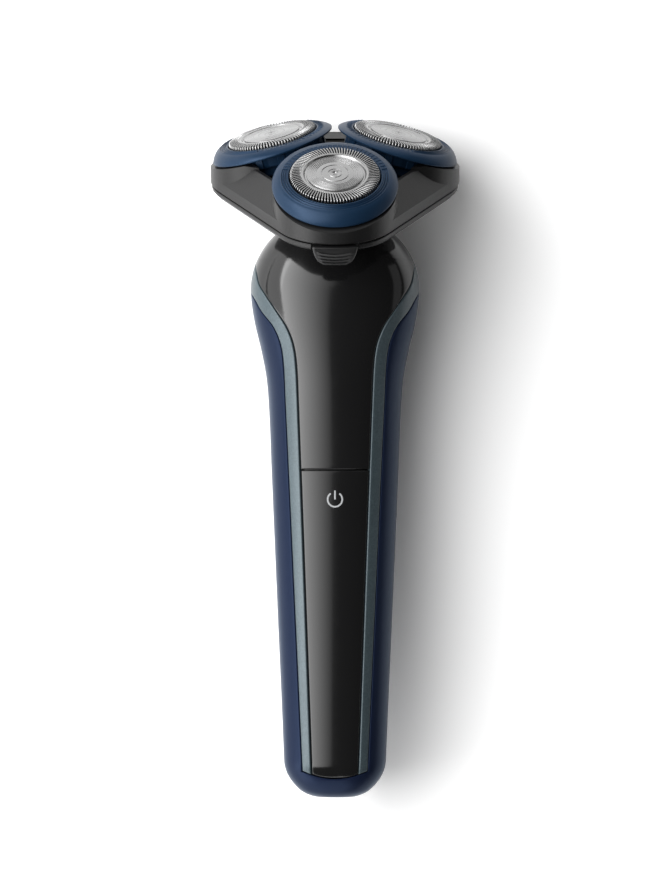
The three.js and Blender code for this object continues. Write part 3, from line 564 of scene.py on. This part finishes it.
def rear_housing():
    form = Form()
    low = lower_arc(7.95)
    top = COLLAR_LOW - FAR
    cuts = sorted([low, SLOT[0], SLOT[1], WELL[0], WELL[1], top - ROUND])
    heights = []
    for a, b in zip(cuts, cuts[1:]):
        heights += [(z, 0) for z in lerp(a, b, max(int((b - a) / 0.9), 1))[:-1]]
    heights.append((cuts[-1], 0))
    heights += [(top - s, d) for s, d in reversed(EDGE[:-1])]
    side_steps, well_steps, slot_steps = 26, 10, 6

    def columns(z):
        start = trim_angle(z, FAR)
        if z >= TRIM_TURN:
            start *= 1 - min((z - TRIM_TURN) / 4.4, 1) ** 4
        rate = speed(z, start + 0.02)
        marks = [start + ROUND / rate, -angle_at(WELL[2], z), -angle_at(SLOT[2], z), pi / 2]
        right = [(start + s / rate, d) for s, d in EDGE[:-1]]
        for a, b, n in zip(marks, marks[1:], (side_steps, well_steps, slot_steps)):
            right += [(t, 0) for t in lerp(a, b, n)[:-1]]
        return right + [(pi / 2, 0)] + [(pi - t, d) for t, d in reversed(right)]

    rows = [[section(z, t, max(inset, d)) for t, d in columns(z)] for z, inset in heights]
    first = len(EDGE) - 1 + side_steps
    last = len(rows[0]) - 1 - first
    slot_first, slot_last = first + well_steps, last - well_steps

    def within(z, region):
        return region[0] - 1e-6 <= z <= region[1] + 1e-6

    def hole(i, j):
        span = heights[j][0], heights[j + 1][0]
        in_well = first <= i < last and all(within(z, WELL) for z in span)
        in_slot = slot_first <= i < slot_last and all(within(z, SLOT) for z in span)
        return in_well or in_slot

    form.grid(rows, skip=hole)

    def pocket(region, a, b, depth):
        """The walls and the floor behind an opening between columns a and b."""
        inside = [j for j, (z, d) in enumerate(heights) if not d and within(z, region)]

        def place(j, i, inset):
            z = heights[j][0]
            return section(z, columns(z)[i][0], inset)

        loop = [(inside[0], i) for i in range(a, b + 1)] + [(j, b) for j in inside[1:]]
        loop += [(inside[-1], i) for i in range(b - 1, a - 1, -1)]
        loop += [(j, a) for j in reversed(inside[1:-1])]
        form.grid([[place(j, i, inset) for j, i in loop] for inset in (0, 0.15, 0.6, depth)], ring=True)
        form.grid([[place(j, i, depth) for i in range(a, b + 1)] for j in inside])

    pocket(WELL, first, last, 5.4)
    pocket(SLOT, slot_first, slot_last, 1.0)

    around = [t for t, d in columns(low) if not d]
    front = [t - 2 * pi for t in lerp(around[-1], around[0] + 2 * pi, 40)[1:-1]]
    loop = around + front

    def foot_top(t):
        x = section(low, t).x
        return lower_arc(x) - NEAR if t in front and t < 0 else low

    foot = [[section(foot_top(t) * f**1.6, t) for t in loop] for f in lerp(0, 1, 16)[:-1]]
    last_row = [section(foot_top(t) - (ROUND if t in front else 0), t) for t in loop]
    for k, (below, above) in enumerate(zip(foot[-1], last_row)):
        if below.z >= above.z - 0.05:
            foot[-1][k] = above - Vector((0, 0, 0.06))
    form.grid(foot + [last_row], ring=True)
    lip_angles = [around[-1] - 2 * pi] + front + [around[0]]
    form.grid([[section(foot_top(t) - s, t, d) for t in lip_angles] for s, d in reversed(EDGE)])

    def mouth(t):
        """A point on the edge of the charging socket's opening."""
        c, s = cos(t), sin(t)
        k = min(3.1 / max(abs(c), 1e-6), 2.1 / max(abs(s), 1e-6))
        return Vector((c * k, 3.1 + s * k, 0))

    rim = [section(0, t) for t in loop]
    inner = [mouth(t) for t in loop]
    form.grid([[a.lerp(b, f) for a, b in zip(rim, inner)] for f in lerp(0, 1, 6)], ring=True)
    form.grid([[p + Vector((0, 0, h)) for p in inner] for h in (0, 4.4)], ring=True)
    make("rear_housing_skin", form, "housing_navy", "handle", ["rear_housing"])


front_panel()
power_panel()
power_mark()
trim()
seam_bed()
rear_housing()

# ---------------------------------------------------------------- turned and hulled forms


def turned(profile, sides=96, matrix=None):
    """A closed solid about +Z from a list of (radius, height) whose ends are on the axis or meet."""
    form = Form(matrix)
    turns = [2 * pi * k / sides for k in range(sides)]
    form.grid([[Vector((r * cos(a), r * sin(a), z)) for a in turns] for r, z in profile], ring=True)
    return form


def triangle_point(reach, radius, angle, height):
    """A point on a triangle with round corners: arcs about centres at reach, joined by straight sides."""
    nearest = max(ANGLES.values(), key=lambda a: cos(angle - a))
    x = reach * cos(nearest) + radius * cos(angle)
    y = reach * sin(nearest) + radius * sin(angle)
    return Vector((x, y, height))


def triangular(rows):
    """A closed solid in the unit's frame from rows of (height, reach, radius)."""
    form = Form(UNIT)
    sides = 132
    turns = [(k + 0.5) / sides * 2 * pi for k in range(sides)]
    grid = []
    for height, reach, radius in rows:
        grid.append([triangle_point(reach, radius, a, height) for a in turns])
    form.grid(grid, ring=True)
    for end in (grid[0], grid[-1]):
        form.fan(end, sum(end, Vector()) / sides)
    return form


def block(low, high, matrix=UNIT):
    """A box between two opposite corners."""
    form = Form(matrix)
    xs, ys, zs = zip(low, high)
    loop = [(xs[0], ys[0]), (xs[1], ys[0]), (xs[1], ys[1]), (xs[0], ys[1])]
    rows = [[Vector((x, y, z)) for x, y in loop] for z in zs]
    form.grid(rows, ring=True)
    for row in rows:
        form.faces.append(tuple(range(len(form.points), len(form.points) + 4)))
        form.points += [tuple(p) for p in row]
    return form


def drum(radius, low, high, sides, matrix):
    """A cylinder about +Z between two heights."""
    return turned([(0, low), (radius, low), (radius, high), (0, high)], sides, matrix)


def hinge_drum(radius, low, high):
    """A cylinder about the unit's hinge axis, from low to high along it."""
    axis = UNIT @ Matrix.Translation((0, *HINGE)) @ Matrix.Rotation(pi / 2, 4, "Y")
    return drum(radius, low, high, 40, axis)


def carve(base, cuts):
    """The mesh left after joining and cutting, in turn: each cut is (operation, form)."""
    obj = bpy.data.objects.new("carve", base.mesh("carve"))
    bpy.context.scene.collection.objects.link(obj)
    tools = []
    for operation, form in cuts:
        tool = bpy.data.objects.new("tool", form.mesh("tool"))
        bpy.context.scene.collection.objects.link(tool)
        tools.append(tool)
        step = obj.modifiers.new("step", "BOOLEAN")
        step.operation, step.solver, step.object = operation, "EXACT", tool
    graph = bpy.context.evaluated_depsgraph_get()
    data = bpy.data.meshes.new_from_object(obj.evaluated_get(graph))
    for spare in [obj, *tools]:
        bpy.data.objects.remove(spare)
    bm = bmesh.new()
    bm.from_mesh(data)
    bmesh.ops.remove_doubles(bm, verts=bm.verts, dist=0.004 * MM)
    bmesh.ops.dissolve_degenerate(bm, edges=bm.edges, dist=0.004 * MM)
    bm.to_mesh(data)
    bm.free()
    return data


def soften(obj, width):
    """Rounds the edges where faces meet at more than 32 degrees."""
    edge = obj.modifiers.new("edge", "BEVEL")
    edge.width, edge.segments, edge.limit_method = width * MM, 3, "ANGLE"
    edge.angle_limit = radians(32)
    edge.harden_normals = True
    edge.use_clamp_overlap = True


def sheared(profile, matrix):
    """A turned form in a head's frame whose heights are counted from the ring's slanted lower face."""
    form = turned(profile, 96, matrix)
    moved = [(x + RING_SHIFT, y, z) for x, y, z in form.points]
    form.points = [(x, y, z + RING_FACE - RING_SLANT * x) for x, y, z in moved]
    return form


def head_frame():
    """The upper half of the shaving unit: a hollow triangle with a round seat for each ring."""
    ridge = -3.9
    shell = triangular(
        [(RIM, SPREAD, 14.45), (RIM + 0.35, SPREAD, 14.8), (-9.7, SPREAD, 14.7),
         (ridge - 0.2, SPREAD, 10.85), (ridge, SPREAD, 10.6)]
    )
    hollow = triangular(
        [(RIM - 1, SPREAD, 13.2), (-10.2, SPREAD, 13.2), (ridge - 1, SPREAD, 9.7), (1, SPREAD, 9.7)]
    )
    cuts = []
    for a in ANGLES.values():
        corner = UNIT @ Matrix.Translation((SPREAD * cos(a), SPREAD * sin(a), 0))
        cuts.append(("UNION", drum(14.8, RIM + 0.4, -3.4, 120, corner)))
    cuts.append(("DIFFERENCE", hollow))

    # The block between the two rear heads, and the slope in front of it.
    cuts.append(("UNION", block((-7, 19.4, -11.4), (7, 23.4, -5.2))))
    slope = UNIT @ Matrix.Translation((0, 19.6, -5.25)) @ Matrix.Rotation(radians(25), 4, "X")
    cuts.append(("UNION", block((-2.4, -4.4, -1.6), (2.4, 0.2, 0), slope)))
    cuts.append(("DIFFERENCE", block((-7.6, 15, -5.2), (7.6, 26, 0))))
    for low, high in ((-2.3, 2.3), (5.7, 8.4), (-8.4, -5.7)):
        cuts.append(("UNION", hinge_drum(1.45, low, high)))

    # Room for each ring at rest, and for the way it swings inwards.
    rim = [(0, 25), (18, 25), (18, -1.2), (15.9, -0.5), (15.5, -0.4), (12.6, -0.4), (12.6, -2),
           (10.8, -10), (0, -10)]
    room = [(0, 25), (15.3, 25), (15.3, -0.3), (0, -0.3)]
    to_pivot = Matrix.Translation((0, 0, PIVOT))
    swing = to_pivot @ Matrix.Rotation(radians(-6), 4, "Y") @ to_pivot.inverted()
    for head in HEADS.values():
        cuts.append(("DIFFERENCE", sheared(rim, head)))
        cuts.append(("DIFFERENCE", sheared(room, head @ swing)))

    # Room for the base's hinge knuckles, and the two notches beside the front head.
    for low, high in ((2.6, 5.4), (-5.4, -2.6)):
        cuts.append(("DIFFERENCE", hinge_drum(1.9, low, high)))
        cuts.append(("DIFFERENCE", block((low, 19, -16), (high, 22.3, -10.7))))
    for side in (-150, -30):
        turn = UNIT @ Matrix.Rotation(radians(side), 4, "Z")
        cuts.append(("DIFFERENCE", block((22.9, -0.7, -12.9), (24.5, 0.7, -12.15), turn)))
    mesh = carve(shell, cuts)
    soften(make("head_frame_shell", mesh, "frame_black", "unit_top", ["head_frame"], 28), 0.2)


def unit_base():
    """The lower half of the shaving unit: a shallow bowl that narrows towards the neck."""
    bowl = triangular(
        [(-20.9, 0.01, 13.6), (-20.2, 0.9, 13.75), (-19.4, 2.6, 14), (-18.2, 5.9, 14.2), (-17, 9.6, 14.4),
         (-16, 12.5, 14.4), (-15.2, 15, 14.4), (-14.5, 16.8, 14.3), (-14.1, 17.55, 14.25),
         (-13.65, SPREAD, 14.5), (-12.95, SPREAD, 14.55), (-12.8, SPREAD, 14.4)]
    )
    lip = triangular([(-13.4, SPREAD, 12.1), (-11.4, SPREAD, 12.1)])
    chamber = triangular([(-15.4, 16.1, 11.1), (-10, 16.1, 11.1)])
    cuts = [("UNION", lip), ("DIFFERENCE", chamber)]

    # Room for the neck, the drive spindle, the hinge and the release tab's stem.
    cuts.append(("DIFFERENCE", drum(11.7, -30, -17.4, 96, UNIT)))
    cuts.append(("DIFFERENCE", drum(4.8, -30, -10, 48, UNIT)))
    cuts.append(("DIFFERENCE", hinge_drum(1.75, -21, 21)))
    cuts.append(("DIFFERENCE", block((-2.3, -31, -15.2), (2.3, -25, -13))))
    for low, high in ((2.9, 5.1), (-5.1, -2.9)):
        cuts.append(("UNION", block((low, 18.5, -14), (high, 22.3, -12.8))))
        cuts.append(("UNION", hinge_drum(1.45, low, high)))
    for low, high in ((-2.6, 2.6), (5.4, 8.8), (-8.8, -5.4)):
        cuts.append(("DIFFERENCE", hinge_drum(1.8, low, high)))
    cuts.append(("DIFFERENCE", block((-5.7, -40, -19), (5.7, -29.7, -12))))
    mesh = carve(bowl, cuts)
    soften(make("unit_base_shell", mesh, "frame_black", "shaving_unit", ["unit_base"], 28), 0.18)


head_frame()
unit_base()

# ---------------------------------------------------------------- shaving heads


def ring_profile(a):
    """(radius, height) pairs round the ring's section at an angle; three grooves fade out inwards."""
    fade = min(max((cos(a) + 0.45) / 0.6, 0), 1)
    face = RING_FACE - RING_SLANT * (RING_R * cos(a) + RING_SHIFT)
    bore, flat, groove = 11.02, -0.85, 0.2 * fade
    profile = [(bore, -3.4), (bore, flat - 0.12), (bore + 0.12, flat)]
    for start in (11.45, 11.95, 12.45):
        profile += [(start, flat), (start + 0.1, flat - groove)]
        profile += [(start + 0.3, flat - groove), (start + 0.42, flat)]
        flat -= 0.10 * fade
    crown, rim = Vector((12.95, flat - 0.02)), Vector((RING_R, face + 0.45))
    across, drop = rim.x - crown.x, crown.y - rim.y
    profile.append(tuple(crown))
    for t in lerp(0.08, 1, 9):
        straight = crown.lerp(rim, t)
        curved = Vector((crown.x + across * sin(t * pi / 2), rim.y + drop * cos(t * pi / 2)))
        profile.append(tuple(straight.lerp(curved, 0.45)))
    profile += [(RING_R, face + 0.2), (RING_R - 0.07, face + 0.06), (RING_R - 0.2, face)]
    profile += [(13.6, face + 0.05), (12.15, face + 0.3)]
    cup = [(11.9, -5.3), (11.6, -5.6), (10.4, -5.7), (10.3, -7.8), (10.1, -8), (9.5, -8), (9.5, -3.4)]
    return profile + cup + [(bore, -3.4)]


def ring(name):
    """The blue surround of a head, with fine ribs on its inner part and flutes round its cup."""
    form = Form(HEADS[name])
    sides = 240
    columns = []
    for k in range(sides):
        a = 2 * pi * k / sides
        column = []
        for r, z in ring_profile(a):
            shift = RING_SHIFT * min(max((r - 12.2) / 1.2, 0), 1)
            column.append(Vector((r * cos(a) + shift, r * sin(a), z)))
        columns.append(column)
    form.grid(columns + [columns[0]])
    make(f"ring_{name}_fine", form, "ring_blue", f"head_{name}", [f"ring_{name}"], 40)

    ribs = Form(HEADS[name])
    count, half, foot = 64, 0.14, -0.9
    for k in range(count):
        a = 2 * pi * (k + 0.5) / count
        if abs((a + pi) % (2 * pi) - pi) < 1.75:
            continue
        along, across = Vector((cos(a), sin(a), 0)), Vector((-sin(a), cos(a), 0)) * half
        rows = []
        for r, z in ((11.3, -0.86), (11.5, -0.72), (12.5, -0.72), (12.8, -0.88)):
            outline = ((-1, foot), (-0.6, z), (0.6, z), (1, foot))
            rows.append([along * r + across * w + Vector((0, 0, h)) for w, h in outline])
        ribs.grid(rows)
    make(f"ring_{name}_ribs", ribs, "ring_blue", f"head_{name}")

    flutes = Form(HEADS[name])
    count = 14
    outline = ((11.8, -1), (12.35, -0.8), (12.35, 0.8), (11.8, 1))
    for k in range(count):
        a = 2 * pi * k / count
        along, across = Vector((cos(a), sin(a), 0)), Vector((-sin(a), cos(a), 0))
        loop = [along * r + across * w for r, w in outline]
        flutes.grid([[p + Vector((0, 0, z)) for p in loop] for z in (-5.4, -5.2, -2.6)])
    make(f"ring_{name}_flutes", flutes, "ring_blue", f"head_{name}")


def guard_disc():
    """(radius, height) pairs of the guard's turned middle, inside the slots."""
    disc = [(0.02, 0.03)]
    for r in (1.5, 3.1):
        disc += [(r, 0.03), (r + 0.12, -0.05), (r + 0.26, 0.03)]
    disc += [(4.1, 0.03), (4.2, 0)]
    for r in (4.45, 4.85, 5.25, 5.65, 6.05, 6.4):
        disc += [(r, 0), (r + 0.1, -0.06), (r + 0.2, 0)]
    channel = [(6.68, 0), (6.8, -0.08), (6.86, -0.42), (7.2, -0.46), (7.5, -0.08), (7.62, -0.02), (7.8, 0)]
    return disc + channel


def turned_uv(data, matrix):
    """A UV map with the distance from a head's axis in U and the turn about it in V."""
    back = matrix.inverted()
    uv = data.uv_layers.new(name="turned")
    for face in data.polygons:
        middle = back @ (face.center / MM)
        turn = atan2(middle.y, middle.x)
        for loop in face.loop_indices:
            p = back @ (data.vertices[data.loops[loop].vertex_index].co / MM)
            p.rotate(Matrix.Rotation(-turn, 3, "Z"))
            uv.data[loop].uv = (hypot(p.x, p.y) / 10, (turn + atan2(p.y, p.x)) / (2 * pi))


def guard(name):
    """The steel guard: a thin cap with 90 leaning slots that run down over its edge."""
    form = Form(HEADS[name])
    slots, lean, slot_start, slot_run = 90, 0.06, 8.05, 2.6
    disc = guard_disc()
    slotted = [(slot_start, 0), (8.7, 0), (9.4, 0), (10.0, -0.01), (10.3, -0.05), (10.55, -0.18),
               (10.7, -0.38), (GUARD_R, -0.6), (GUARD_R, -1.1), (GUARD_R, -1.75)]
    hem = [(GUARD_R, -2.1), (GUARD_R, -3.2)]
    # Each slot's share of the circle is four columns wide, and its middle two are open.
    share = (0.0, 0.21, 0.5, 0.79)
    rows = []
    for r, z in disc + slotted + hem:
        twist = lean * min(max((r - slot_start) / slot_run, 0), 1)
        turns = [2 * pi * (k + part) / slots + twist for k in range(slots) for part in share]
        rows.append([Vector((r * cos(a), r * sin(a), z)) for a in turns])
    first, last = len(disc), len(disc) + len(slotted) - 1
    form.grid(rows, ring=True, skip=lambda i, j: i % len(share) in (1, 2) and first <= j < last)
    piece = f"guard_{name}_fine"
    data = form.mesh(piece, weld=0.0005)
    turned_uv(data, HEADS[name])
    obj = make(piece, data, "steel", f"head_{name}", [f"guard_{name}"], 24, look="guard_steel")
    wall = obj.modifiers.new("wall", "SOLIDIFY")
    wall.thickness, wall.offset = 0.17 * MM, -1


for head_name in ANGLES:
    ring(head_name)
    guard(head_name)

# ---------------------------------------------------------------- release tab, neck and trimmer


def release_tab():
    """The front tab that frees the unit's upper half: it narrows downwards and has stepped ribs."""
    form = Form(UNIT)
    top, length, depth, count = -12.85, 4.85, -31.3, 60
    rows = []
    for j in range(count + 1):
        t = j / count
        half = 5.3 - 1.9 * t**1.8 - 0.9 * (max(t - 0.7, 0) / 0.3) ** 2
        end = min(t * count / 3, (1 - t) * count / 3, 1)
        row = []
        for u in lerp(-1, 1, 40):
            x = half * u
            side = min((1 - abs(u)) * half / 0.35, 1)
            face = -33.1 + 0.012 * x * x + 0.9 * t**2
            soft = 0.3 * (1 - sqrt(max(1 - (1 - min(side, end)) ** 2, 0)))
            smile = t * length - 0.07 * (half * half - x * x) / 2.2
            step = (smile - 0.85) / 0.95
            on_rib = 0 < step < 4 and abs(u) < 0.86
            rib = 0.26 * (1 - step % 1) * min((0.86 - abs(u)) * 8, 1) if on_rib else 0
            row.append(Vector((x, face + soft - rib, top - length * t)))
        ends = [Vector((row[i].x, depth, row[i].z)) for i in (0, -1)]
        rows.append(ends[:1] + row + ends[1:])
    back = [[Vector((p.x, depth, p.z)) for p in row] for row in rows]
    form.grid([back[0]] + rows + [back[-1]])
    form.grid(back)
    form.join(block((-2, -31.4, -14.9), (2, -27.4, -13.3)))
    make("release_tab_face", form, "frame_black", "release_tab", ["release_tab"], 50)


def neck():
    """The collar between the handle and the shaving unit, with a groove round it."""
    outside = [(2.5, -29.8), (13.3, -29.8), (13.6, -27.3), (13.6, -24.9), (13.35, -24.7), (13.35, -24.2),
               (13.6, -24), (13.6, -21.2), (13.4, -20.95)]
    spigot = [(11.6, -20.9), (11.4, -20.7), (11.4, -17.9), (11.2, -17.7)]
    bore = [(4.3, -17.7), (4.1, -17.9), (4.1, -29.8), (2.5, -29.8)]
    form = turned(outside + spigot + bore, 128, UNIT)
    make("neck_collar_fine", form, "frame_black", "handle", ["neck_collar"], 40)


def trimmer():
    """The hair trimmer's arm: a plate flush with the back, its hinge barrel and five grip bars."""
    form = Form()
    half, low, high, depth, radius = 8.2, 79.6, 99.1, 4.9, 0.35
    edge = bevel(radius, depth)
    columns = [(-half + s, d) for s, d in edge[:-1]]
    columns += [(x, 0) for x in lerp(-half + radius, half - radius, 30)]
    columns += [(half - s, d) for s, d in reversed(edge[:-1])]
    rows = []
    for z, inset in heights_between(low, high, 0.7, edge):
        rows.append([Vector((x, back_y(x, z) - max(d, inset), z)) for x, d in columns])
    form.grid(rows)
    form.grid([[row[0], row[-1]] for row in rows])
    barrel = turned([(0.7, -8.2), (1.7, -8.2), (1.9, -8.0), (1.9, 8.0), (1.7, 8.2), (0.7, 8.2)], 48)
    form.join(barrel, Matrix.Translation((0, 13.3, low)) @ Matrix.Rotation(pi / 2, 4, "Y"))
    outline = ((-0.1, -0.3), (0.16, -0.12), (0.16, 0.12), (-0.1, 0.3))
    for k in range(5):
        z, reach = 84.5 + 1.3 * k, 4.6 - 0.25 * k
        bar = []
        for x in lerp(-reach, reach, 14):
            bar.append([Vector((x, back_y(x, z) + out, z + up)) for out, up in outline])
        form.grid(bar)
    make("trimmer_arm_shell", form, "frame_black", "trimmer", ["trimmer_arm"], 40)


def thumb_slide():
    """The trimmer's ridged thumb slide."""
    form = Form()
    low, high, half, soft = 65.6, 70.6, 1.95, 0.5
    rows = []
    for z in lerp(low, high, 60):
        end = min((z - low) / soft, (high - z) / soft, 1)
        row = []
        for x in lerp(-half, half, 24):
            side = min((half - abs(x)) / soft, 1)
            rise = 0.62 * sqrt(max(1 - (1 - min(side, end)) ** 2, 0))
            ridge = 0.14 * cos((z - low) * 2 * pi / 0.9) if end == 1 and side > 0.5 else 0
            row.append(Vector((x, back_y(x, z) - 0.7 + rise * 1.9 + ridge, z)))
        rows.append(row)
    form.grid(rows)
    make("trimmer_thumb", form, "frame_black", "trimmer_switch", ["trimmer_switch"], 50)


release_tab()
neck()
trimmer()
thumb_slide()

# ---------------------------------------------------------------- studio


def light(name, azimuth, elevation, distance, size, power, fade=None):
    """A softbox aimed at the middle of the shaver; fade is its brightness at its two upright edges."""
    data = bpy.data.lights.new(name, "AREA")
    data.energy, data.shape = power, "RECTANGLE"
    data.size, data.size_y = size
    a, e = radians(azimuth), radians(elevation)
    direction = Vector((sin(a) * cos(e), -cos(a) * cos(e), sin(e)))
    obj = bpy.data.objects.new(name, data)
    obj.location = Vector((0, 0, 0.09)) + direction * distance
    obj.rotation_euler = direction.to_track_quat("Z", "Y").to_euler()
    obj.visible_camera = False
    bpy.context.scene.collection.objects.link(obj)
    if fade is not None:
        data.use_nodes = True
        nodes, links = data.node_tree.nodes, data.node_tree.links
        where = nodes.new("ShaderNodeNewGeometry")
        parts = nodes.new("ShaderNodeSeparateXYZ")
        ramp = nodes.new("ShaderNodeMapRange")
        ramp.inputs["To Min"].default_value, ramp.inputs["To Max"].default_value = fade
        links.new(where.outputs["Parametric"], parts.inputs["Vector"])
        links.new(parts.outputs["X"], ramp.inputs["Value"])
        links.new(ramp.outputs["Result"], nodes["Emission"].inputs["Strength"])


def backdrop():
    """A pale wall just behind the shaver; it is a little brighter to the camera, and clear from behind."""
    y, size = 0.021, 1.6
    data = bpy.data.meshes.new("backdrop")
    corners = [(-size, y, -size), (size, y, -size), (size, y, size), (-size, y, size)]
    data.from_pydata(corners, [], [(0, 1, 2, 3)])
    obj = bpy.data.objects.new("backdrop", data)
    bpy.context.scene.collection.objects.link(obj)
    mat = bpy.data.materials.new("backdrop_pale")
    mat.use_nodes = True
    nodes, links = mat.node_tree.nodes, mat.node_tree.links
    shader = nodes["Principled BSDF"]
    shader.inputs["Base Color"].default_value = (0.9, 0.9, 0.9, 1)
    shader.inputs["Roughness"].default_value = 0.9
    shader.inputs["Specular IOR Level"].default_value = 0.0
    lift = nodes.new("ShaderNodeBsdfDiffuse")
    lift.inputs["Color"].default_value = (0.25, 0.25, 0.25, 1)
    lifted = nodes.new("ShaderNodeAddShader")
    links.new(shader.outputs["BSDF"], lifted.inputs[0])
    links.new(lift.outputs["BSDF"], lifted.inputs[1])
    path = nodes.new("ShaderNodeLightPath")
    wall = nodes.new("ShaderNodeMixShader")
    links.new(path.outputs["Is Camera Ray"], wall.inputs["Fac"])
    links.new(shader.outputs["BSDF"], wall.inputs[1])
    links.new(lifted.outputs["Shader"], wall.inputs[2])
    side = nodes.new("ShaderNodeNewGeometry")
    clear = nodes.new("ShaderNodeBsdfTransparent")
    one_sided = nodes.new("ShaderNodeMixShader")
    links.new(side.outputs["Backfacing"], one_sided.inputs["Fac"])
    links.new(wall.outputs["Shader"], one_sided.inputs[1])
    links.new(clear.outputs["BSDF"], one_sided.inputs[2])
    links.new(one_sided.outputs["Shader"], nodes["Material Output"].inputs["Surface"])
    data.materials.append(mat)


backdrop()
light("key_left", -29, 12, 0.70, (0.76, 0.96), 18, fade=(1.0, 0.08))
light("left_strip", -71, 14, 0.70, (0.42, 1.1), 3.0)
light("left_low", -72, -36, 0.70, (0.46, 0.55), 2.6)
light("front_low", -30, -76, 0.55, (0.45, 0.3), 0.8)
light("top_soft", 10, 78, 0.80, (0.7, 0.4), 0.8)
light("right_fill", 75, 10, 0.90, (0.3, 0.8), 0.25)
light("back_key", 205, 24, 0.90, (0.7, 0.9), 5.0)
light("back_fill", 160, 4, 0.90, (0.5, 0.9), 1.5)

world = bpy.data.worlds.new("studio")
bpy.context.scene.world = world
world.use_nodes = True
world_nodes, world_links = world.node_tree.nodes, world.node_tree.links
background = world_nodes["Background"]
background.inputs["Color"].default_value = (1, 1, 1, 1)
# The world lights the shaver weakly, but the camera sees it as bright as the backdrop.
AMBIENT, SEEN = 0.055, 0.95
ray = world_nodes.new("ShaderNodeLightPath")
strength = world_nodes.new("ShaderNodeMapRange")
strength.inputs["To Min"].default_value = AMBIENT
strength.inputs["To Max"].default_value = SEEN
world_links.new(ray.outputs["Is Camera Ray"], strength.inputs["Value"])
world_links.new(strength.outputs["Result"], background.inputs["Strength"])

bpy.context.scene.view_settings.view_transform = "Standard"

camera_data = bpy.data.cameras.new("camera")
camera_data.sensor_fit = "VERTICAL"
camera_data.sensor_height = 36
camera_data.lens = 200
camera_data.clip_start, camera_data.clip_end = 0.05, 10
camera = bpy.data.objects.new("camera", camera_data)
camera.location = (0, -1.2, 0.0846)
camera.rotation_euler = (pi / 2, 0, 0)
bpy.context.scene.collection.objects.link(camera)
bpy.context.scene.camera = camera
